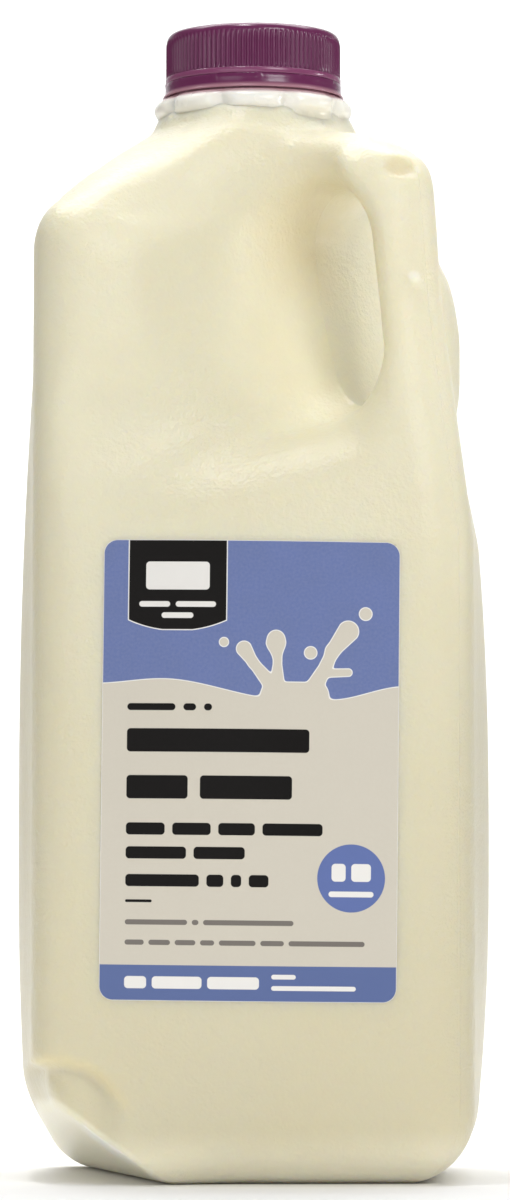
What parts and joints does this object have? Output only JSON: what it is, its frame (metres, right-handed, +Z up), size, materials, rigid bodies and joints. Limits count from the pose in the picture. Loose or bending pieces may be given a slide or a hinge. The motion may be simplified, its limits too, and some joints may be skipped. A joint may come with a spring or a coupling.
{
  "type": "plastic milk jug",
  "caption": "Half-gallon blow-moulded milk jug, full and shut: square body, corner grip handle, screw cap with tamper band, front label.",
  "frame": {"origin": "centre of the base, on the plane that the jug stands on", "axes": "+Z up along the neck's axis, -Y out of the face with the label, the handle corner towards +X -Y"},
  "size_m": [0.1049, 0.1056, 0.255],
  "materials": {
    "jug_plastic": "translucent satin polythene, creamy from the milk behind it",
    "milk": "opaque white liquid",
    "cap_plastic": "moulded plum, semi-gloss",
    "band_plastic": "moulded plum, semi-gloss",
    "label": "coated, printed in blue, beige and black"
  },
  "bodies": {
    "root": {"jug": "jug_plastic", "milk": "milk", "screw_cap": "cap_plastic", "tamper_band": "band_plastic", "front_label": "label"}
  },
  "joints": []
}
